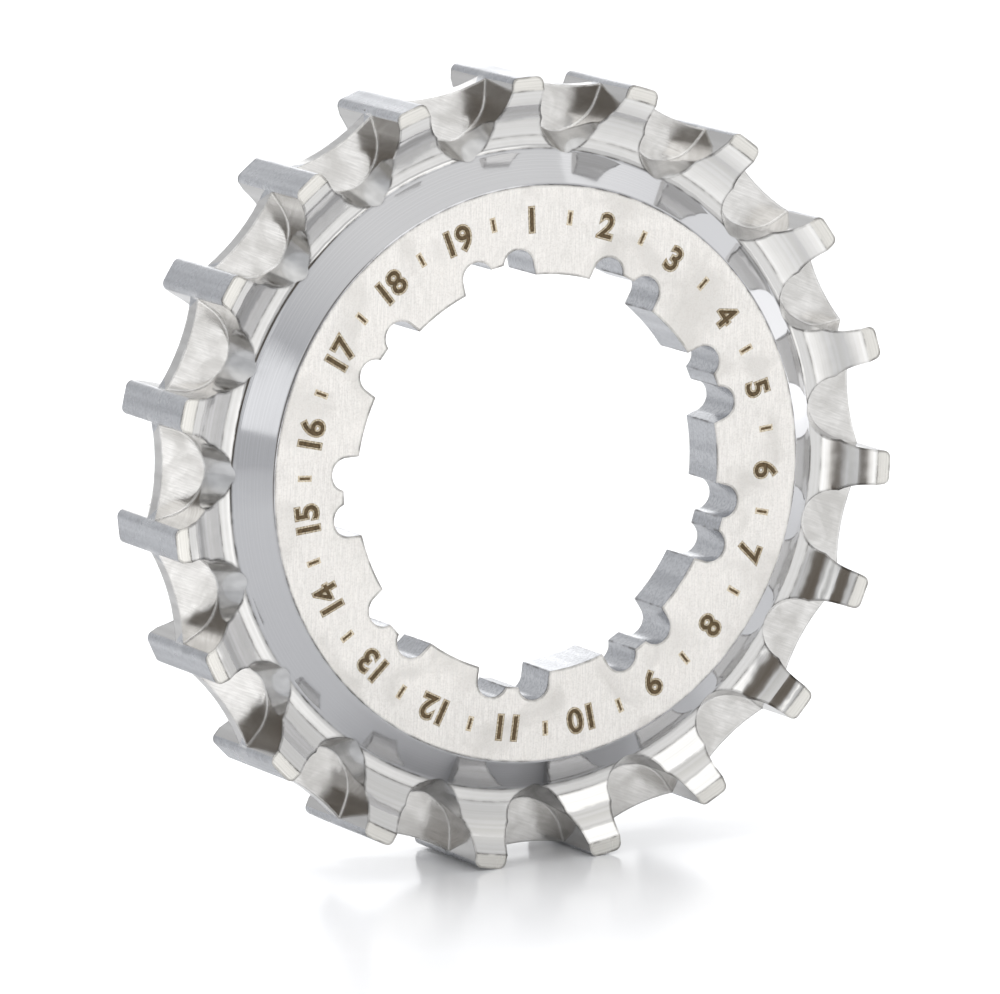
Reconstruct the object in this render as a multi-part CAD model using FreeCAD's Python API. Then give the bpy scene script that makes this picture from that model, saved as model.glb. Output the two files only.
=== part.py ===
import FreeCAD, Part
import math
import os

# Toothed belt sprocket for a bicycle rear hub, one machined piece of steel.
# Frame: the sprocket's axis is Y, its open front face looks toward -Y, Z is up, and the
# origin is on the axis at the middle of the tooth width. One tooth stands straight up, so
# that the sprocket rests on two teeth at the bottom. All sizes are in millimetres.

# Belt and teeth
belt_pitch = 11.0
tooth_count = 19
pitch_line_height = 0.76
tooth_width = 11.3
gap_depth = 4.86
gap_round_radius = 3.65
gap_flank_angle = 14.0
tooth_corner_radius = 0.6

# Centre fin
fin_thickness = 1.44
fin_edge_drop = 1.15
fin_edge_arc_radius = 16.7

# Mud ports
port_radius = 2.65
port_tilt = 30.0
port_floor_drop = 0.06

# Turned end of the teeth, from the tip circle inward
pad_width = 1.16
bevel_depth = 0.96
bevel_angle = 37.0
hollow_width = 2.67
hollow_bulge = 0.19
ledge_depth = 2.55
ledge_width = 1.07

# Hub disc
cone_angle = 43.5
hub_thickness = 4.92

# Rear recess
rear_ledge_width = 3.1

# Splined bore
spline_count = 9
bore_radius = 16.36
groove_width = 6.44
relief_radius = 1.35
relief_centre_rise = 0.76
groove_land_rise = 0.4

# Derived sizes
tooth_angle = 360.0 / tooth_count
tip_radius = belt_pitch * tooth_count / (2 * math.pi) - pitch_line_height
gap_root_radius = tip_radius - gap_depth
fin_edge_radius = tip_radius - fin_edge_drop
front = -tooth_width / 2
rear = tooth_width / 2
fin_face = fin_thickness / 2
pad_start = tip_radius - pad_width
bevel_edge_radius = pad_start - bevel_depth / math.tan(math.radians(bevel_angle))
hollow_inner_radius = bevel_edge_radius - hollow_width
foot_radius = hollow_inner_radius - ledge_width
hub_face_radius = foot_radius - ledge_depth / math.tan(math.radians(cone_angle))
recess_radius = hollow_inner_radius - rear_ledge_width
relief_centre_radius = bore_radius + relief_centre_rise
over = 1.0


def point(across, along, out):
    return FreeCAD.Vector(across, along, out)


def line(start, end):
    return Part.LineSegment(start, end).toShape()


def arc(start, middle, end):
    return Part.Arc(start, middle, end).toShape()


def prism(edges, first, last):
    face = Part.Face(Part.Wire(edges))
    face.translate(point(0, first, 0))
    return face.extrude(point(0, last - first, 0))


def turned(angle, shape):
    copy = shape.copy()
    copy.rotate(point(0, 0, 0), point(0, 1, 0), angle)
    return copy


def at(radius, depth):
    """Point of the turned outline: radius from the axis, depth behind the front plane."""
    return point(radius, front + depth, 0)


def behind(radius, depth):
    """Same point mirrored to the rear end of the teeth."""
    return point(radius, rear - depth, 0)


def bevel_and_pad(place):
    """Edges of the turned tooth end from the bevel's inner edge out to the tip circle."""
    return [line(place(bevel_edge_radius, bevel_depth), place(pad_start, 0)),
            line(place(pad_start, 0), place(tip_radius, 0))]


# Turned blank
ledge_edge = at(hollow_inner_radius, ledge_depth)
bevel_edge = at(bevel_edge_radius, bevel_depth)
rise = ledge_depth - bevel_depth
chord = math.hypot(hollow_width, rise)
hollow_mid = at(hollow_inner_radius + hollow_width / 2 + hollow_bulge * rise / chord,
                bevel_depth + rise / 2 + hollow_bulge * hollow_width / chord)
hollow = Part.Arc(ledge_edge, hollow_mid, bevel_edge).toBSpline().toShape()
rear_ledge_edge = behind(hollow_inner_radius, ledge_depth)
wall_top = behind(recess_radius, ledge_depth)
wall_foot = at(recess_radius, hub_thickness)
outline = [line(at(0, 0), at(hub_face_radius, 0)),
           line(at(hub_face_radius, 0), at(foot_radius, ledge_depth)),
           line(at(foot_radius, ledge_depth), ledge_edge), hollow]
outline += bevel_and_pad(at)
outline += [line(at(tip_radius, 0), behind(tip_radius, 0))]
outline += bevel_and_pad(behind)
outline += [line(behind(bevel_edge_radius, bevel_depth), rear_ledge_edge),
            line(rear_ledge_edge, wall_top), line(wall_top, wall_foot),
            line(wall_foot, at(0, hub_thickness)), line(at(0, hub_thickness), at(0, 0))]
profile = Part.Face(Part.Wire(Part.__sortEdges__(outline)))
blank = profile.revolve(point(0, 0, 0), point(0, 1, 0), 360)

# Belt gap that points up, with the rounded corners of its two teeth
flank = math.radians(gap_flank_angle)
root_centre = gap_root_radius + gap_round_radius
flank_start = point(gap_round_radius * math.cos(flank), 0, root_centre - gap_round_radius * math.sin(flank))
flank_way = point(math.sin(flank), 0, math.cos(flank))
into_tooth = point(math.cos(flank), 0, -math.sin(flank))
base = flank_start + into_tooth * tooth_corner_radius
centre_radius = tip_radius - tooth_corner_radius
half_b = base.dot(flank_way)
step = -half_b + math.sqrt(half_b ** 2 - base.dot(base) + centre_radius ** 2)
corner_centre = base + flank_way * step
outward = point(corner_centre.x, 0, corner_centre.z).normalize()
corner_low = corner_centre - into_tooth * tooth_corner_radius
corner_high = corner_centre + outward * tooth_corner_radius
corner_mid = corner_centre + (outward - into_tooth).normalize() * tooth_corner_radius
clear = corner_high + outward * over


def mirrored(spot):
    return point(-spot.x, spot.y, spot.z)


root = point(0, 0, gap_root_radius)
gap_edges = [line(clear, corner_high), arc(corner_high, corner_mid, corner_low),
             line(corner_low, flank_start), arc(flank_start, root, mirrored(flank_start)),
             line(mirrored(flank_start), mirrored(corner_low)),
             arc(mirrored(corner_low), mirrored(corner_mid), mirrored(corner_high)),
             line(mirrored(corner_high), mirrored(clear)), line(mirrored(clear), clear)]
gap = prism(gap_edges, front - over, rear + over)

# Mud ports, one tilted round cut from each end of the gap down to the fin
tilt = math.radians(port_tilt)
port_way = point(0, -math.cos(tilt), -math.sin(tilt))
port_up = point(0, -math.sin(tilt), math.cos(tilt))
floor_start = point(0, -fin_face, gap_root_radius - port_floor_drop)
port_back = 2.0
port_length = port_back + (tooth_width / 2 + over) / math.cos(tilt)
port_start = floor_start + port_up * port_radius - port_way * port_back
front_port = Part.makeCylinder(port_radius, port_length, port_start, port_way)
rear_port = front_port.mirror(point(0, 0, 0), point(0, 1, 0))

# Fin left standing across the gap, with a hollow outer edge
fin_half = corner_high.x + over
sag = fin_edge_arc_radius - math.sqrt(fin_edge_arc_radius ** 2 - fin_half ** 2)
fin_left = point(-fin_half, 0, fin_edge_radius + sag)
fin_right = point(fin_half, 0, fin_edge_radius + sag)
fin_low = gap_root_radius - 3
fin_edges = [arc(fin_left, point(0, 0, fin_edge_radius), fin_right),
             line(fin_right, point(fin_half, 0, fin_low)),
             line(point(fin_half, 0, fin_low), point(-fin_half, 0, fin_low)),
             line(point(-fin_half, 0, fin_low), fin_left)]
fin = prism(fin_edges, -fin_face, fin_face)
gap_cut = gap.fuse([front_port, rear_port]).cut(fin)

# Splined bore: grooves with two round corner reliefs and a narrow land between them
groove_half = groove_width / 2
relief_across = groove_half - relief_radius
land_height = relief_centre_radius + groove_land_rise
land_half = relief_across - math.sqrt(relief_radius ** 2 - groove_land_rise ** 2)
wall_low = math.sqrt(bore_radius ** 2 - groove_half ** 2)
spline_angle = 360.0 / spline_count
first_groove = -tooth_angle / 2 + spline_angle / 2


def groove_spot(number, across, out):
    turn = FreeCAD.Rotation(point(0, 1, 0), -(first_groove + number * spline_angle))
    return turn.multVec(point(across, 0, out))


relief_top = relief_centre_radius + relief_radius
slant = relief_radius * math.sqrt(0.5)
bore_edges = []
for number in range(spline_count):
    spot = [groove_spot(number, across, out) for across, out in (
        (groove_half, wall_low), (groove_half, relief_centre_radius),
        (relief_across + slant, relief_centre_radius + slant), (land_half, land_height),
        (-land_half, land_height),
        (-relief_across - slant, relief_centre_radius + slant),
        (-groove_half, relief_centre_radius), (-groove_half, wall_low))]
    lug_turn = FreeCAD.Rotation(point(0, 1, 0), -(first_groove + (number + 0.5) * spline_angle))
    lug_tip = lug_turn.multVec(point(0, 0, bore_radius))
    next_wall = groove_spot(number + 1, groove_half, wall_low)
    bore_edges += [line(spot[0], spot[1]), arc(spot[1], spot[2], spot[3]),
                   line(spot[3], spot[4]), arc(spot[4], spot[5], spot[6]),
                   line(spot[6], spot[7]), arc(spot[7], lug_tip, next_wall)]
bore = prism(bore_edges, front - over, rear + over)

# All cuts together
cuts = [turned((number + 0.5) * tooth_angle, gap_cut) for number in range(tooth_count)]
sprocket = blank.cut(cuts + [bore]).removeSplitter()
solids = sprocket.Solids
print("solids", len(solids), "valid", sprocket.isValid(), "volume", round(sprocket.Volume, 1))
print("tip radius", round(tip_radius, 3), "foot radius", round(foot_radius, 3))
sprocket = solids[0]

os.makedirs("parts", exist_ok=True)
sprocket.exportStep("parts/sprocket.step")
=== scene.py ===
import math

import bmesh
import bpy
from mathutils import Matrix, Vector


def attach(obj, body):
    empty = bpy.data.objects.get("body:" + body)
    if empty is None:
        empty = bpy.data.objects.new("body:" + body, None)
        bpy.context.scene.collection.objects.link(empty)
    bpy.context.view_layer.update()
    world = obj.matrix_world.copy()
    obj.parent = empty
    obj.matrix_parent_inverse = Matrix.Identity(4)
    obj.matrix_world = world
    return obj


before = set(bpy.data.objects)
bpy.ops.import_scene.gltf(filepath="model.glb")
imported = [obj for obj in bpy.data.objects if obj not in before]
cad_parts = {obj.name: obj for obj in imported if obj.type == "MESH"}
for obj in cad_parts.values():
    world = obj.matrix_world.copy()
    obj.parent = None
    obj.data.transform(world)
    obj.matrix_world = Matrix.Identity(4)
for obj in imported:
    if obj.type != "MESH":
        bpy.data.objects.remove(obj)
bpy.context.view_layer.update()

MM = 0.001
TEETH = 19

# Limits that tell the sprocket's faces apart: radii from the axis, and depths along it
FRONT_FACE = -5.65 * MM
FRONT_TOLERANCE = 0.02 * MM
FIN_FACE = 0.72 * MM
FIN_TOLERANCE = 0.005 * MM
BORE_LIMIT = 18.9 * MM
HUB_LIMIT = 25 * MM
CONE_LIMIT = 26.4 * MM
RIM_DEPTH = 2.6 * MM
LAND_START = 31.85 * MM
RECESS_LIMIT = 24.4 * MM
RECESS_DEPTH = 4.9 * MM
REAR_END_START = 3.0 * MM
REAR_PAD_START = 31 * MM

# Edges and curves that are shaded and not in the solid: widths, radii, and leans in degrees
EDGE_ROUNDING = 0.25 * MM
EDGE_LINE_WIDTH = 0.34 * MM
FIN_SIDE = (FIN_FACE + 0.15 * MM, FIN_FACE + 0.2 * MM)
CONE_SLOPE = 43.5
HUB_EDGE = (23.64 * MM, 23.84 * MM)
HUB_EDGE_LEAN = (8, CONE_SLOPE)
FOOT_FILLET = (26.03 * MM, 26.75 * MM)
FOOT_FILLET_LEAN = (CONE_SLOPE, 0)
BEVEL = (30.07 * MM, 31.34 * MM)
BEVEL_LEAN = (-34, -14)

# Etched marks: the pale rim lies under the brown core, both just in front of the hub face
MARK_RADIUS = 20.75 * MM
LETTER_SIZE = 2.76 * MM
TICK_RADIUS = 21.0 * MM
TICK_SIZE = (0.14 * MM, 0.86 * MM)
CORE_WEIGHT = 0.035 * MM
HALO_WEIGHT = 0.19 * MM
CORE_LIFT = 0.005 * MM
HALO_LIFT = 0.002 * MM
PRESSED_FLAT = 0.002

# Colours of the pits and the scuffs, and of the edge lines, which are painted dark reflections and,
# by the fin, painted highlights
BLASTED_PITS = (0.22, 0.19, 0.16, 1)
TURNED_PITS = (0.25, 0.23, 0.21, 1)
MILLED_PITS = (0.24, 0.22, 0.2, 1)
FIN_PITS = (0.2, 0.18, 0.15, 1)
BLASTED_EDGE_SHADE = (0.07, 0.065, 0.06, 1)
TURNED_EDGE_SHADE = (0.06, 0.055, 0.05, 1)
MILLED_EDGE_SHADE = (0.16, 0.155, 0.15, 1)
# The two pale edge colours are painted highlights along the fin's root and along its edges.
FIN_ROOT_HIGHLIGHT = (0.95, 0.94, 0.92, 1)
FIN_EDGE_HIGHLIGHT = (0.90, 0.89, 0.87, 1)
SCUFFS = (0.26, 0.26, 0.27, 1)
WHITE = (1, 1, 1, 1)

# Floor: sides are azimuths, spreads are cosines, starts and reaches are in metres, and a
# share multiplies the glow
FLOOR_LEVEL = -32.19 * MM
FLOOR_REACH = 6.0
FLOOR_COLOUR = (0.83, 0.833, 0.84, 1)
FLOOR_GLOW = 0.36
# The lamps cast the contact shadow, and painted shade deepens it: near where the object stands the
# camera sees less of the floor's glow.
CONTACT_SHADOW_STRETCH = 0.8
CONTACT_SHADOW_ASIDE = -0.003
CONTACT_SHADOW_REACH = (0.003, 0.038)
CONTACT_SHADOW_SHARE = (0.09, 0.89)
# The pools are painted light: glow in the floor that only mirrored rays see.
NEAR_POOL_SIDE = 68
NEAR_POOL_START = (0.0, 0.05)
NEAR_POOL_FRONT = (-0.03, 0.02)
NEAR_POOL_SPREAD = (0.35, 0.8)
NEAR_POOL_SHARE = (1.9, 0.55)
FAR_POOL_SIDE = 118
FAR_POOL_START = (0.08, 0.3)
FAR_POOL_SHARE = (0.0, 2.0)
# The dim strip is painted shade: a darker floor colour that only mirrored rays see.
DIM_STRIP_SIDE = -26
DIM_STRIP_TONE = (0.34, 0.33, 0.32, 1)
DIM_STRIP_SPREAD = (0.965, 0.99)
DIM_STRIP_START = (0.12, 0.22)

# Studio round the object: the dark opening is a row of soft round spots, in degrees
LEFT_TONE = (0.64, 0.65, 0.67, 1)
RIGHT_TONE = (0.81, 0.815, 0.83, 1)
OPENING_TONE = (0.17, 0.15, 0.13, 1)
OPENING_AIMS = ((-27, 3), (-25, 11), (-23, 18), (-17, 28))
OPENING_REACH = (8.5, 12.5)
CEILING_START = (0.5, 0.88)

# Soft boxes: name, azimuth, elevation, width, height and brightness
LAMP_DISTANCE = 1.4
SOFT_BOXES = (
    ("front_softbox", 12, 29, 0.78, 0.74, 0.75),
    ("left_window", -60, 19, 0.13, 0.56, 0.6),
    ("left_window_middle", -50, 20, 0.08, 0.66, 0.55),
    ("left_window_right", -40, 20, 0.07, 0.66, 0.5),
    ("right_softbox", 105, 4, 0.36, 0.36, 0.6),
    ("right_tall_softbox", 92, 32, 0.6, 1.2, 0.27),
    ("back_softbox", 156, 15, 0.45, 0.5, 0.95),
)
OVERHEAD_SOFT_BOX = ("overhead_softbox", -100, 62, 0.5, 0.5, 7.0)

# Camera: the photograph's viewing angle, in degrees, and its lens in millimetres
CAMERA_AZIMUTH = -26.213
CAMERA_ELEVATION = 9.744
CAMERA_ROLL = -1.538
CAMERA_DISTANCE = 0.81818
CAMERA_LENS = 360.84
CAMERA_SENSOR = 36.0
CAMERA_SHIFT = (-0.0075, -0.0325)


# Object helpers

def add_object(name, data):
    """A new object in the scene."""
    added = bpy.data.objects.new(name, data)
    bpy.context.scene.collection.objects.link(added)
    return added


def direction(azimuth, elevation):
    """Unit vector toward an azimuth (0 is the front, plus is to the right) and an elevation."""
    turn, rise = math.radians(azimuth), math.radians(elevation)
    level = math.cos(rise)
    return Vector((math.sin(turn) * level, -math.cos(turn) * level, math.sin(rise)))


# Node helpers

def place(tree, kind, **settings):
    """Adds a node to the tree and sets its own properties."""
    new = tree.nodes.new(kind)
    for name, value in settings.items():
        setattr(new, name, value)
    return new


def feed(tree, target, value):
    """Links a socket into a target socket, or sets the target to a plain value."""
    if isinstance(value, bpy.types.NodeSocket):
        tree.links.new(value, target)
    else:
        target.default_value = value


def calculate(tree, operation, first, second=0.0, third=0.0, clamp=False):
    """A math node with up to three inputs; gives its result."""
    new = place(tree, "ShaderNodeMath", operation=operation, use_clamp=clamp)
    for target, value in zip(new.inputs, (first, second, third)):
        feed(tree, target, value)
    return new.outputs[0]


def rescale(tree, value, low, high, new_low=0.0, new_high=1.0):
    """Maps a value from one range to another, held at the ends."""
    new = place(tree, "ShaderNodeMapRange")
    for target, number in zip(new.inputs, (value, low, high, new_low, new_high)):
        feed(tree, target, number)
    return new.outputs[0]


def between(tree, mask, low, high):
    """A value that goes from low to high with a mask."""
    return rescale(tree, mask, 0.0, 1.0, low, high)


# Sockets of the mix node for each kind: first value, second value and result
MIX_SOCKETS = {"VECTOR": (4, 5, 1), "RGBA": (6, 7, 2)}


def mix(tree, kind, mask, first, second):
    """Goes from one colour or vector to another with a mask."""
    new = place(tree, "ShaderNodeMix", data_type=kind)
    start, end, result = MIX_SOCKETS[kind]
    feed(tree, new.inputs[0], mask)
    feed(tree, new.inputs[start], first)
    feed(tree, new.inputs[end], second)
    return new.outputs[result]


def tint(tree, mask, dark, light):
    """A colour between two, by a mask."""
    return mix(tree, "RGBA", mask, dark, light)


def object_spot(tree):
    """The place on the object, in its own frame."""
    return place(tree, "ShaderNodeTexCoord").outputs["Object"]


def split(tree, spot):
    """The X, Y and Z of a place."""
    parts = place(tree, "ShaderNodeSeparateXYZ")
    feed(tree, parts.inputs[0], spot)
    return parts.outputs


def axis_radius(tree, parts):
    """Distance from the sprocket's axis."""
    across = calculate(tree, "MULTIPLY", parts["X"], parts["X"])
    out = calculate(tree, "MULTIPLY_ADD", parts["Z"], parts["Z"], across)
    return calculate(tree, "SQRT", out)


def dot_product(tree, first, second):
    """How far one vector reaches along another."""
    new = place(tree, "ShaderNodeVectorMath", operation="DOT_PRODUCT")
    feed(tree, new.inputs[0], first)
    feed(tree, new.inputs[1], second)
    return new.outputs["Value"]


def noise(tree, spot, scale, detail, distortion=0.0):
    """Soft noise over a place."""
    new = place(tree, "ShaderNodeTexNoise")
    feed(tree, new.inputs["Vector"], spot)
    feed(tree, new.inputs["Scale"], scale)
    feed(tree, new.inputs["Detail"], detail)
    feed(tree, new.inputs["Distortion"], distortion)
    return new.outputs[0]


def line_noise(tree, value, scale, detail):
    """Soft noise along one value."""
    new = place(tree, "ShaderNodeTexNoise", noise_dimensions="1D")
    feed(tree, new.inputs["W"], value)
    feed(tree, new.inputs["Scale"], scale)
    feed(tree, new.inputs["Detail"], detail)
    return new.outputs[0]


def per_width(tree, width):
    """The scale of a noise whose grains are a width in millimetres."""
    return calculate(tree, "DIVIDE", 1.0 / MM, width)


def start_group(name, inputs, floats, vectors=()):
    """A shader node group with inputs (name, value) and the names of its outputs."""
    tree = bpy.data.node_groups.new(name, "ShaderNodeTree")
    for label, value in inputs:
        socket = tree.interface.new_socket(label, in_out="INPUT", socket_type="NodeSocketFloat")
        socket.default_value = value
    for label in vectors:
        tree.interface.new_socket(label, in_out="OUTPUT", socket_type="NodeSocketVector")
    for label in floats:
        tree.interface.new_socket(label, in_out="OUTPUT", socket_type="NodeSocketFloat")
    entry = place(tree, "NodeGroupInput")
    result = place(tree, "NodeGroupOutput")
    return tree, entry.outputs, result.inputs


def use_group(tree, group, **values):
    """Places a group in a material with its own input values."""
    new = place(tree, "ShaderNodeGroup", node_tree=group)
    for label, value in values.items():
        feed(tree, new.inputs[label.replace("_", " ")], value)
    return new.outputs


# Surface effects that several finishes share

def make_turning_lines():
    """Fine rings left by a lathe: they change with the radius and the depth, not round the axis."""
    tree, entry, result = start_group("turning_lines", [("Line Width", 0.1), ("Drift", 0.3)],
                                      ["Height", "Tone"])
    spot = object_spot(tree)
    parts = split(tree, spot)
    reach = calculate(tree, "MULTIPLY_ADD", parts["Y"], 0.6, axis_radius(tree, parts))
    lines = calculate(tree, "DIVIDE", reach, calculate(tree, "MULTIPLY", entry["Line Width"], MM))
    wander = noise(tree, spot, scale=220, detail=2)
    shifted = calculate(tree, "MULTIPLY_ADD", wander, entry["Drift"], lines)
    feed(tree, result["Height"], line_noise(tree, shifted, scale=1, detail=3))
    broad = line_noise(tree, calculate(tree, "MULTIPLY", lines, 0.13), scale=5, detail=1)
    feed(tree, result["Tone"], rescale(tree, broad, 0.3, 0.7))
    return tree


def make_cutter_lines():
    """Fine straight lines along the axis, as a milling cutter or a broach leaves them."""
    tree, entry, result = start_group("cutter_lines", [("Line Width", 0.1)], ["Height", "Tone"])
    grid = place(tree, "ShaderNodeMapping")
    feed(tree, grid.inputs["Vector"], object_spot(tree))
    grid.inputs["Scale"].default_value = (1.0, 0.03, 1.0)
    size = per_width(tree, entry["Line Width"])
    feed(tree, result["Height"], noise(tree, grid.outputs[0], size, detail=2))
    broad_size = calculate(tree, "MULTIPLY", size, 0.12)
    broad = noise(tree, grid.outputs[0], broad_size, detail=1)
    feed(tree, result["Tone"], rescale(tree, broad, 0.35, 0.65))
    return tree


def make_metal_grain():
    """Blasted or cast-like grain, with soft clouds and a few small dark pits."""
    tree, entry, result = start_group("metal_grain", [("Grain Size", 0.12), ("Pit Share", 0.05)],
                                      ["Height", "Cloud", "Pits"])
    spot = object_spot(tree)
    grain = noise(tree, spot, per_width(tree, entry["Grain Size"]), detail=3)
    cloud = noise(tree, spot, scale=260, detail=4)
    feed(tree, result["Height"], grain)
    feed(tree, result["Cloud"], rescale(tree, cloud, 0.35, 0.65))
    cells = place(tree, "ShaderNodeTexVoronoi")
    feed(tree, cells.inputs["Vector"], spot)
    cells.inputs["Scale"].default_value = 420
    dots = place(tree, "ShaderNodeSeparateColor")
    feed(tree, dots.inputs[0], cells.outputs["Color"])
    chosen = calculate(tree, "LESS_THAN", dots.outputs[0], entry["Pit Share"])
    pit_size = calculate(tree, "MULTIPLY_ADD", dots.outputs[1], 0.05, 0.03)
    inside = calculate(tree, "LESS_THAN", cells.outputs["Distance"], pit_size)
    feed(tree, result["Pits"], calculate(tree, "MULTIPLY", chosen, inside))
    return tree


def make_polish_waves():
    """Uneven hand polish: shallow waves a millimetre or two long, and cloudy patches."""
    tree, entry, result = start_group("polish_waves", [("Wave Size", 1.2)], ["Height", "Patch"])
    spot = object_spot(tree)
    size = per_width(tree, entry["Wave Size"])
    feed(tree, result["Height"], noise(tree, spot, size, detail=1))
    patch_size = calculate(tree, "MULTIPLY", size, 0.7)
    patch = noise(tree, spot, patch_size, detail=4, distortion=0.6)
    feed(tree, result["Patch"], rescale(tree, patch, 0.36, 0.64))
    return tree


def make_brushing():
    """Short fine scratches that all run one way on a flat face; at no tilt they are upright."""
    tree, entry, result = start_group("brushing", [("Line Width", 0.1), ("Tilt", 0.0)],
                                      ["Height", "Tone"])
    turn = place(tree, "ShaderNodeCombineXYZ")
    feed(tree, turn.inputs["Y"], calculate(tree, "RADIANS", entry["Tilt"]))
    grid = place(tree, "ShaderNodeMapping")
    feed(tree, grid.inputs["Vector"], object_spot(tree))
    feed(tree, grid.inputs["Rotation"], turn.outputs[0])
    stretch = place(tree, "ShaderNodeMapping")
    feed(tree, stretch.inputs["Vector"], grid.outputs[0])
    stretch.inputs["Scale"].default_value = (1.0, 1.0, 0.07)
    size = per_width(tree, entry["Line Width"])
    scratches = noise(tree, stretch.outputs[0], size, detail=2, distortion=0.15)
    feed(tree, result["Height"], scratches)
    feed(tree, result["Tone"], rescale(tree, scratches, 0.35, 0.65))
    return tree


def make_edge_line():
    """A mask that is 1 on the edges, about a tenth of a millimetre wide and a little uneven, where
    the edge reflections are painted.
    """
    tree, entry, result = start_group("edge_line", [("Evenness", 0.5)], ["Edge"])
    rounded = place(tree, "ShaderNodeBevel", samples=4)
    rounded.inputs["Radius"].default_value = EDGE_LINE_WIDTH
    plain = place(tree, "ShaderNodeNewGeometry")
    sameness = dot_product(tree, rounded.outputs[0], plain.outputs["Normal"])
    mask = rescale(tree, calculate(tree, "SUBTRACT", 1.0, sameness), 0.005, 0.02)
    patchiness = noise(tree, object_spot(tree), scale=700, detail=2)
    low = calculate(tree, "SUBTRACT", entry["Evenness"], 0.5)
    uneven = rescale(tree, patchiness, 0.4, 0.6, low, 1.0)
    feed(tree, result["Edge"], calculate(tree, "MULTIPLY", mask, uneven, clamp=True))
    return tree


def make_turned_curves():
    """Normals of the cone's broken edge, its foot fillet and the rounded bevel, with a mask.

    Each curve is a ring between two radii, and across it the surface's lean goes from one
    angle to another.
    """
    curves = ((HUB_EDGE, HUB_EDGE_LEAN), (FOOT_FILLET, FOOT_FILLET_LEAN), (BEVEL, BEVEL_LEAN))
    tree, entry, result = start_group("turned_curves", [("Roundness", 1.0)], ["Inside"],
                                      vectors=["Normal"])
    parts = split(tree, object_spot(tree))
    radius = axis_radius(tree, parts)
    lean, inside = 0.0, 0.0
    for (low, high), (first, last) in curves:
        above = calculate(tree, "GREATER_THAN", radius, low)
        below = calculate(tree, "LESS_THAN", radius, high)
        within = calculate(tree, "MULTIPLY", above, below)
        turn = rescale(tree, radius, low, high, math.radians(first), math.radians(last))
        lean = calculate(tree, "MULTIPLY_ADD", within, turn, lean)
        inside = calculate(tree, "ADD", inside, within)
    out = calculate(tree, "DIVIDE", calculate(tree, "SINE", lean), radius)
    along = calculate(tree, "MULTIPLY", calculate(tree, "COSINE", lean),
                      calculate(tree, "SIGN", parts["Y"]))
    way = place(tree, "ShaderNodeCombineXYZ")
    feed(tree, way.inputs["X"], calculate(tree, "MULTIPLY", parts["X"], out))
    feed(tree, way.inputs["Y"], along)
    feed(tree, way.inputs["Z"], calculate(tree, "MULTIPLY", parts["Z"], out))
    feed(tree, result["Normal"], way.outputs[0])
    feed(tree, result["Inside"], calculate(tree, "MULTIPLY", inside, entry["Roundness"]))
    return tree


turning_lines = make_turning_lines()
turned_curves = make_turned_curves()
polish_waves = make_polish_waves()
brushing = make_brushing()
edge_line = make_edge_line()
cutter_lines = make_cutter_lines()
metal_grain = make_metal_grain()


# Finishes of the steel

def start_material(name):
    """A new material, its node tree and its shader."""
    material = bpy.data.materials.new(name)
    material.use_nodes = True
    return material, material.node_tree, material.node_tree.nodes["Principled BSDF"]


def start_finish(name, roughness):
    """A metal material with its shader and the normals of its rounded edges."""
    material, tree, shader = start_material(name)
    shader.inputs["Metallic"].default_value = 1.0
    shader.inputs["Roughness"].default_value = roughness
    rounding = place(tree, "ShaderNodeBevel", samples=4)
    rounding.inputs["Radius"].default_value = EDGE_ROUNDING
    return material, tree, shader, rounding.outputs[0]


def raise_surface(tree, shader, height, strength, distance, base=None):
    """Bump from a height, on top of the rounded edges where they are given."""
    bump = place(tree, "ShaderNodeBump")
    bump.inputs["Strength"].default_value = strength
    bump.inputs["Distance"].default_value = distance
    feed(tree, bump.inputs["Height"], height)
    if base is not None:
        feed(tree, bump.inputs["Normal"], base)
    feed(tree, shader.inputs["Normal"], bump.outputs[0])


def paint_edge_reflections(tree, shader, colour, edge_reflection_colour, evenness):
    """Base colour with thin lines along the edges, painted in the edge colour as reflections: dark
    on most faces and bright by the fin.
    """
    edges = use_group(tree, edge_line, Evenness=evenness)
    feed(tree, shader.inputs["Base Color"], tint(tree, edges["Edge"], colour, edge_reflection_colour))


def make_blasted_face():
    """Matt hub face: clouds, upright brushing, grain and a few dark pits."""
    material, tree, shader, rounding = start_finish("blasted_face", 0.5)
    grain = use_group(tree, metal_grain, Grain_Size=0.13, Pit_Share=0.05)
    waves = use_group(tree, polish_waves, Wave_Size=4.0)
    brush = use_group(tree, brushing, Line_Width=0.12, Tilt=-4.0)
    clean = tint(tree, grain["Cloud"], (0.95, 0.92, 0.875, 1), (0.99, 0.965, 0.925, 1))
    patch = rescale(tree, waves["Patch"], 0.0, 0.45)
    worn = tint(tree, patch, (0.78, 0.755, 0.715, 1), clean)
    scratches = calculate(tree, "MULTIPLY", brush["Tone"], 0.65)
    brushed = tint(tree, scratches, worn, (0.80, 0.78, 0.745, 1))
    speckle = rescale(tree, grain["Height"], 0.46, 0.66, 0.0, 0.34)
    speckled = tint(tree, speckle, brushed, (0.68, 0.65, 0.605, 1))
    pitted = tint(tree, grain["Pits"], speckled, BLASTED_PITS)
    # Its dark edge lines are painted reflections of the broken edges.
    paint_edge_reflections(tree, shader, pitted, BLASTED_EDGE_SHADE, evenness=0.8)
    feed(tree, shader.inputs["Roughness"], between(tree, grain["Cloud"], 0.44, 0.54))
    dent = calculate(tree, "SUBTRACT", grain["Height"], grain["Pits"])
    raise_surface(tree, shader, dent, strength=0.4, distance=0.03 * MM, base=rounding)
    return material


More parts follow.
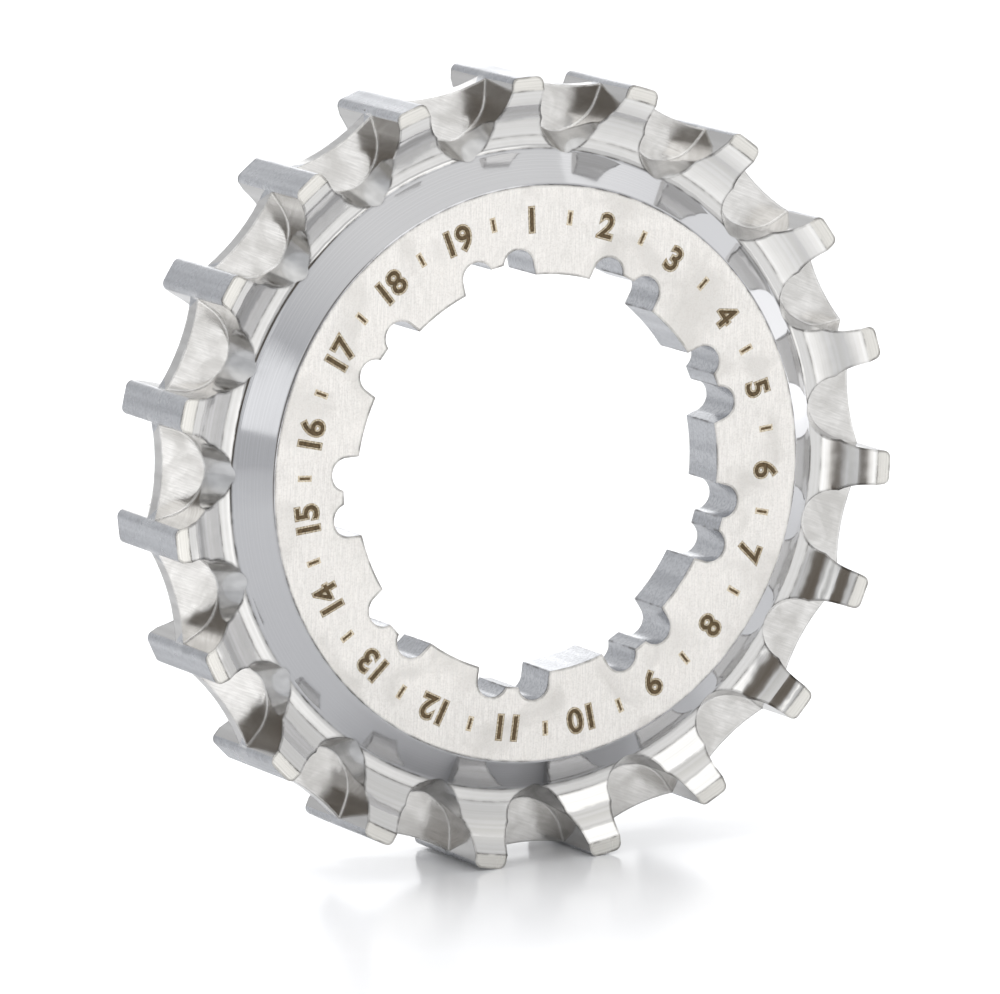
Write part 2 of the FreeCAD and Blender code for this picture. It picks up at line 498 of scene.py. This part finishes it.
def make_turned(name, dark, light, roughness, line_width, strength, pits, waviness, roundness=0.9):
    """Lathe-turned and polished steel: rings, shallow waves and the curves of its edges."""
    material, tree, shader, rounding = start_finish(name, roughness[0])
    rings = use_group(tree, turning_lines, Line_Width=line_width, Drift=0.25)
    grain = use_group(tree, metal_grain, Grain_Size=0.3, Pit_Share=pits)
    waves = use_group(tree, polish_waves, Wave_Size=1.8)
    curves = use_group(tree, turned_curves, Roundness=roundness)
    ringed = tint(tree, rings["Tone"], dark, light)
    pitted = tint(tree, grain["Pits"], ringed, TURNED_PITS)
    # Its dark edge lines are painted reflections of the broken edges.
    paint_edge_reflections(tree, shader, pitted, TURNED_EDGE_SHADE, evenness=0.75)
    feed(tree, shader.inputs["Roughness"], between(tree, grain["Cloud"], *roughness))
    rounded = mix(tree, "VECTOR", curves["Inside"], rounding, curves["Normal"])
    height = calculate(tree, "MULTIPLY_ADD", waves["Height"], waviness, rings["Height"])
    raise_surface(tree, shader, height, strength, distance=0.01 * MM, base=rounded)
    return material


def near_fin(tree):
    """A mask that is 1 close to the fin's two faces and 0 farther along the axis."""
    away = calculate(tree, "ABSOLUTE", split(tree, object_spot(tree))["Y"])
    return rescale(tree, away, *FIN_SIDE, 1.0, 0.0)


def make_milled(name, dark, light, roughness, line_width, strength, pits, scuffing=0.0):
    """Milled or broached steel: straight cutter lines, scuffs, and edges painted with dark
    reflections, or with a painted highlight by the fin.
    """
    material, tree, shader, rounding = start_finish(name, roughness[0])
    lines = use_group(tree, cutter_lines, Line_Width=line_width)
    grain = use_group(tree, metal_grain, Grain_Size=0.25, Pit_Share=pits)
    streaked = tint(tree, lines["Tone"], dark, light)
    scuffs = rescale(tree, grain["Height"], 0.40, 0.66, 0.0, scuffing)
    scuffed = tint(tree, scuffs, streaked, SCUFFS)
    pitted = tint(tree, grain["Pits"], scuffed, MILLED_PITS)
    # Edge lines by the fin are a painted highlight of the fillet at its root; elsewhere they are
    # painted dark reflections.
    edge_reflection_colour = tint(tree, near_fin(tree), MILLED_EDGE_SHADE, FIN_ROOT_HIGHLIGHT)
    paint_edge_reflections(tree, shader, pitted, edge_reflection_colour, evenness=0.5)
    feed(tree, shader.inputs["Roughness"], between(tree, grain["Cloud"], *roughness))
    raise_surface(tree, shader, lines["Height"], strength, distance=0.01 * MM, base=rounding)
    return material


def make_fin_finish():
    """Hand-polished fin: cloudy patches, waves and slanting scratches."""
    material, tree, shader, rounding = start_finish("fin_face", 0.16)
    grain = use_group(tree, metal_grain, Grain_Size=0.3, Pit_Share=0.08)
    waves = use_group(tree, polish_waves, Wave_Size=1.6)
    brush = use_group(tree, brushing, Line_Width=0.14, Tilt=66.0)
    mottled = tint(tree, waves["Patch"], (0.62, 0.605, 0.58, 1), (0.82, 0.805, 0.78, 1))
    scratches = calculate(tree, "MULTIPLY", brush["Tone"], 0.4)
    scratched = tint(tree, scratches, mottled, (0.52, 0.505, 0.48, 1))
    pitted = tint(tree, grain["Pits"], scratched, FIN_PITS)
    # The fin's edge lines are painted highlights.
    paint_edge_reflections(tree, shader, pitted, FIN_EDGE_HIGHLIGHT, evenness=0.6)
    feed(tree, shader.inputs["Roughness"], between(tree, waves["Patch"], 0.24, 0.15))
    height = calculate(tree, "MULTIPLY_ADD", brush["Height"], 0.10, waves["Height"])
    raise_surface(tree, shader, height, strength=1.0, distance=0.024 * MM, base=rounding)
    return material


finishes = {
    "blasted": make_blasted_face(),
    "cone": make_turned("polished_cone", (0.58, 0.58, 0.59, 1), (0.615, 0.615, 0.625, 1),
                        roughness=(0.07, 0.11), line_width=0.09, strength=0.03, pits=0.01,
                        waviness=8.0),
    "rim": make_turned("turned_rim", (0.66, 0.65, 0.625, 1), (0.71, 0.70, 0.685, 1),
                       roughness=(0.08, 0.14), line_width=0.12, strength=0.09, pits=0.05,
                       waviness=45.0),
    "pad": make_turned("turned_pad", (0.71, 0.69, 0.645, 1), (0.82, 0.80, 0.75, 1),
                       roughness=(0.20, 0.28), line_width=0.16, strength=0.12, pits=0.06,
                       waviness=12.0),
    "back": make_turned("turned_hub_back", (0.70, 0.69, 0.67, 1), (0.82, 0.81, 0.79, 1),
                        roughness=(0.28, 0.36), line_width=0.2, strength=0.25, pits=0.06,
                        waviness=4.0, roundness=0.0),
    "land": make_milled("tooth_land", (0.52, 0.53, 0.55, 1), (0.64, 0.65, 0.67, 1),
                        roughness=(0.24, 0.32), line_width=0.09, strength=0.3, pits=0.12,
                        scuffing=0.27),
    "wall": make_milled("gap_wall", (0.56, 0.55, 0.535, 1), (0.66, 0.65, 0.635, 1),
                        roughness=(0.10, 0.16), line_width=0.12, strength=0.12, pits=0.05),
    "port": make_milled("mud_port", (0.58, 0.578, 0.575, 1), (0.70, 0.698, 0.695, 1),
                        roughness=(0.10, 0.16), line_width=0.10, strength=0.12, pits=0.04),
    "bore": make_milled("broached_bore", (0.53, 0.54, 0.56, 1), (0.66, 0.67, 0.69, 1),
                        roughness=(0.20, 0.28), line_width=0.12, strength=0.25, pits=0.12,
                        scuffing=0.35),
    "fin": make_fin_finish(),
}


def finish_of(centre, normal):
    """Which finish a face of the sprocket has, from where it is and which way it faces.

    Facing is 1 for a face square to the axis and 0 for one along it, and outward is 1 for a
    face that looks straight away from the axis.
    """
    radius = math.hypot(centre.x, centre.z)
    outward = (centre.x * normal.x + centre.z * normal.z) / radius
    depth = centre.y - FRONT_FACE
    facing = abs(normal.y)
    off_fin = abs(abs(centre.y) - FIN_FACE)
    if radius < BORE_LIMIT and facing < 0.1:
        return "bore"
    if depth < FRONT_TOLERANCE:
        return "blasted" if radius < HUB_LIMIT else "pad"
    if facing > 0.99 and radius > HUB_LIMIT and off_fin < FIN_TOLERANCE:
        return "fin"
    if normal.y < -0.6 and outward > 0.5 and radius < CONE_LIMIT:
        return "cone"
    if normal.y < -0.6 and depth < RIM_DEPTH:
        return "rim"
    if radius > LAND_START and facing < 0.1 and outward > 0.2:
        return "land"
    if radius < RECESS_LIMIT and depth > RECESS_DEPTH:
        return "back" if facing > 0.9 else "cone"
    if normal.y > 0.6 and centre.y > REAR_END_START:
        return "pad" if facing > 0.99 and radius > REAR_PAD_START else "rim"
    if facing < 0.05:
        return "wall"
    return "port"


def dress_sprocket(sprocket):
    """Gives each face of the solid its finish; the mesh stays as it is."""
    mesh = sprocket.data
    order = list(finishes)
    mesh.materials.clear()
    for name in order:
        mesh.materials.append(finishes[name])
    for face in mesh.polygons:
        face.material_index = order.index(finish_of(face.center, face.normal))


dress_sprocket(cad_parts["sprocket"])


# Etched index marks on the front face

def make_etched(name, dark, light, opacity):
    """Speckled etched layer, fainter between its specks unless it is opaque."""
    material, tree, shader = start_material(name)
    shader.inputs["Metallic"].default_value = 0.35
    grain = use_group(tree, metal_grain, Grain_Size=0.14, Pit_Share=0.0)
    speckle = rescale(tree, grain["Height"], 0.38, 0.62)
    feed(tree, shader.inputs["Base Color"], tint(tree, speckle, dark, light))
    feed(tree, shader.inputs["Roughness"], between(tree, speckle, 0.5, 0.7))
    if opacity < 1:
        feed(tree, shader.inputs["Alpha"], between(tree, speckle, opacity * 0.5, opacity))
    raise_surface(tree, shader, grain["Height"], strength=0.3, distance=0.02 * MM)
    return material


def turned_to(angle, radius, height):
    """Matrix that puts a mark drawn in the XY plane on the front face, its top outward."""
    upright = Matrix.Rotation(math.radians(90), 4, "X")
    return Matrix.Rotation(angle, 4, "Y") @ Matrix.Translation((0, height, radius)) @ upright


def text_mesh(text, band):
    """Mesh of a text's area, or with a band width of a band pressed flat along its outlines."""
    curve = bpy.data.curves.new("number_" + text, "FONT")
    curve.body = text
    curve.size = LETTER_SIZE
    curve.align_x = "CENTER"
    curve.align_y = "CENTER"
    curve.resolution_u = 5
    if band:
        curve.fill_mode = "NONE"
        curve.bevel_depth = band
        curve.bevel_resolution = 0
    holder = add_object("number_" + text, curve)
    bpy.context.view_layer.update()
    mesh = bpy.data.meshes.new_from_object(holder)
    bpy.data.objects.remove(holder)
    mesh.transform(Matrix.Diagonal((1, 1, PRESSED_FLAT, 1)))
    return mesh


def add_tick(form, angle, height, grow):
    """A short radial tick, larger all round by what it grows."""
    wide, long = TICK_SIZE[0] / 2 + grow, TICK_SIZE[1] / 2 + grow
    spots = [(-wide, -long), (wide, -long), (wide, long), (-wide, long)]
    matrix = turned_to(angle, TICK_RADIUS, height)
    form.faces.new([form.verts.new(matrix @ Vector((x, y, 0))) for x, y in spots])


def make_marks(name, height, weight, material, filled):
    """One number at each tooth and a short tick at each gap, flat on the front face."""
    bands = (weight, 0.0) if filled else (weight,)
    form = bmesh.new()
    for tooth in range(TEETH):
        angle = math.radians(360.0 * tooth / TEETH)
        for band in bands:
            mesh = text_mesh(str(tooth + 1), band)
            mesh.transform(turned_to(angle, MARK_RADIUS, height))
            form.from_mesh(mesh)
            bpy.data.meshes.remove(mesh)
        add_tick(form, math.radians(360.0 * (tooth + 0.5) / TEETH), height, weight)
    mesh = bpy.data.meshes.new(name)
    form.to_mesh(mesh)
    form.free()
    mesh.materials.clear()
    mesh.materials.append(material)
    marks = add_object(name, mesh)
    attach(marks, "root")


etched_brown = make_etched("etched_brown", (0.105, 0.07, 0.032, 1), (0.225, 0.155, 0.078, 1),
                           opacity=1.0)
etched_halo = make_etched("etched_halo", (0.86, 0.69, 0.44, 1), (0.97, 0.89, 0.72, 1),
                          opacity=0.95)
make_marks("etched_marks_halo", FRONT_FACE - HALO_LIFT, HALO_WEIGHT, etched_halo, filled=False)
make_marks("etched_marks", FRONT_FACE - CORE_LIFT, CORE_WEIGHT, etched_brown, filled=True)


# Floor, light and camera

def clear_of_painted_shadow(tree, parts):
    """Share of the glow that the camera sees: little where the object stands, more farther off, so
    that a contact shadow is painted on the floor.
    """
    beside = calculate(tree, "MULTIPLY_ADD", parts["X"], CONTACT_SHADOW_STRETCH, CONTACT_SHADOW_ASIDE)
    wide = calculate(tree, "MULTIPLY", beside, beside)
    long = calculate(tree, "MULTIPLY_ADD", parts["Y"], parts["Y"], wide)
    return rescale(tree, calculate(tree, "SQRT", long), *CONTACT_SHADOW_REACH, *CONTACT_SHADOW_SHARE)


def near_pool(tree, spot, parts, away):
    """Share of the pool of light in front and to the right, brightest straight in front."""
    aim = dot_product(tree, spot, direction(NEAR_POOL_SIDE, 0))
    side = rescale(tree, aim, *NEAR_POOL_START)
    front = rescale(tree, parts["Y"], *NEAR_POOL_FRONT, 1.0, 0.0)
    turn = calculate(tree, "DIVIDE", aim, away)
    pool = rescale(tree, turn, *NEAR_POOL_SPREAD, *NEAR_POOL_SHARE)
    return calculate(tree, "MULTIPLY", calculate(tree, "MULTIPLY", side, front), pool)


def far_pool(tree, spot):
    """Share of the pool of light behind and to the right, which grows with the distance."""
    aim = dot_product(tree, spot, direction(FAR_POOL_SIDE, 0))
    return rescale(tree, aim, *FAR_POOL_START, *FAR_POOL_SHARE)


def dim_strip(tree, spot, away):
    """Mask of a narrow strip that starts some way off and leads away from the object."""
    aim = dot_product(tree, spot, direction(DIM_STRIP_SIDE, 0))
    strip = rescale(tree, calculate(tree, "DIVIDE", aim, away), *DIM_STRIP_SPREAD)
    return calculate(tree, "MULTIPLY", strip, rescale(tree, away, *DIM_STRIP_START))


def make_pale_floor():
    """Near white to the camera but for a painted contact shadow, with two pools of painted light
    and a strip of painted shade that only the steel shows.
    """
    material, tree, shader = start_material("pale_floor")
    shader.inputs["Roughness"].default_value = 0.18
    shader.inputs["Specular IOR Level"].default_value = 0.45
    shader.inputs["Emission Color"].default_value = WHITE
    path = place(tree, "ShaderNodeLightPath").outputs
    mirrored = calculate(tree, "MAXIMUM", path["Is Glossy Ray"], path["Is Transmission Ray"])
    spot = object_spot(tree)
    parts = split(tree, spot)
    length = place(tree, "ShaderNodeVectorMath", operation="LENGTH")
    feed(tree, length.inputs[0], spot)
    away = length.outputs["Value"]
    dim = calculate(tree, "MULTIPLY", dim_strip(tree, spot, away), mirrored)
    feed(tree, shader.inputs["Base Color"], tint(tree, dim, FLOOR_COLOUR, DIM_STRIP_TONE))
    pools = calculate(tree, "MAXIMUM", near_pool(tree, spot, parts, away), far_pool(tree, spot))
    seen = calculate(tree, "MULTIPLY", path["Is Camera Ray"], clear_of_painted_shadow(tree, parts))
    glow = calculate(tree, "MULTIPLY_ADD", mirrored, pools, seen)
    feed(tree, shader.inputs["Emission Strength"], calculate(tree, "MULTIPLY", glow, FLOOR_GLOW))
    return material


def make_floor():
    """Wide flat floor under the two lowest teeth."""
    mesh = bpy.data.meshes.new("floor")
    spots = [(-FLOOR_REACH, -FLOOR_REACH, 0), (FLOOR_REACH, -FLOOR_REACH, 0),
             (FLOOR_REACH, FLOOR_REACH, 0), (-FLOOR_REACH, FLOOR_REACH, 0)]
    mesh.from_pydata(spots, [], [(0, 1, 2, 3)])
    mesh.materials.append(make_pale_floor())
    floor = add_object("floor", mesh)
    floor.location = (0, 0, FLOOR_LEVEL)


def add_lamp(name, azimuth, elevation, width, height, brightness):
    """A soft box that faces the object; brightness 1 is a white card."""
    data = bpy.data.lights.new(name, "AREA")
    data.shape = "RECTANGLE"
    data.size = width
    data.size_y = height
    data.energy = brightness * math.pi * width * height
    lamp = add_object(name, data)
    toward = direction(azimuth, elevation)
    lamp.location = toward * LAMP_DISTANCE
    lamp.rotation_euler = toward.to_track_quat("Z", "Y").to_euler()
    return lamp


def make_world():
    """Pale studio with a dark opening on the photographer's side, and white to the camera.

    The paler ceiling is seen only in the steel.
    """
    world = bpy.data.worlds.new("studio")
    world.use_nodes = True
    bpy.context.scene.world = world
    tree = world.node_tree
    surround = tree.nodes["Background"]
    path = place(tree, "ShaderNodeLightPath").outputs
    spot = place(tree, "ShaderNodeTexCoord").outputs["Generated"]
    parts = split(tree, spot)
    walls = tint(tree, rescale(tree, parts["X"], -0.8, 0.8), LEFT_TONE, RIGHT_TONE)
    near, far = [math.cos(math.radians(angle)) for angle in OPENING_REACH]
    dark = 0.0
    for aim_at in OPENING_AIMS:
        aim = dot_product(tree, spot, direction(*aim_at))
        dark = calculate(tree, "MAXIMUM", rescale(tree, aim, far, near), dark)
    high = rescale(tree, parts["Z"], *CEILING_START)
    ceiling = calculate(tree, "MULTIPLY", high, path["Is Glossy Ray"])
    room = tint(tree, ceiling, walls, WHITE)
    feed(tree, surround.inputs["Color"], tint(tree, dark, room, OPENING_TONE))
    white = place(tree, "ShaderNodeBackground")
    white.inputs["Color"].default_value = WHITE
    blend = place(tree, "ShaderNodeMixShader")
    feed(tree, blend.inputs[0], path["Is Camera Ray"])
    feed(tree, blend.inputs[1], surround.outputs[0])
    feed(tree, blend.inputs[2], white.outputs[0])
    feed(tree, tree.nodes["World Output"].inputs[0], blend.outputs[0])


def make_camera():
    """Long lens at the photograph's viewing angle, aimed at the object's middle and shifted."""
    azimuth, roll = math.radians(CAMERA_AZIMUTH), math.radians(CAMERA_ROLL)
    back = direction(CAMERA_AZIMUTH, CAMERA_ELEVATION)
    right = Vector((math.cos(azimuth), math.sin(azimuth), 0))
    up = back.cross(right)
    turned_right = right * math.cos(roll) + up * math.sin(roll)
    turned_up = -right * math.sin(roll) + up * math.cos(roll)
    data = bpy.data.cameras.new("camera")
    data.lens = CAMERA_LENS
    data.sensor_width = CAMERA_SENSOR
    data.shift_x, data.shift_y = CAMERA_SHIFT
    data.clip_end = 50
    camera = add_object("camera", data)
    basis = Matrix((turned_right, turned_up, back)).transposed().to_4x4()
    camera.matrix_world = Matrix.Translation(back * CAMERA_DISTANCE) @ basis
    bpy.context.scene.camera = camera


make_floor()
make_world()
for soft_box in SOFT_BOXES:
    add_lamp(*soft_box)
# The overhead one lights the floor and isn't seen in the steel
overhead = add_lamp(*OVERHEAD_SOFT_BOX)
overhead.visible_glossy = False
make_camera()
bpy.context.scene.view_settings.view_transform = "Standard"
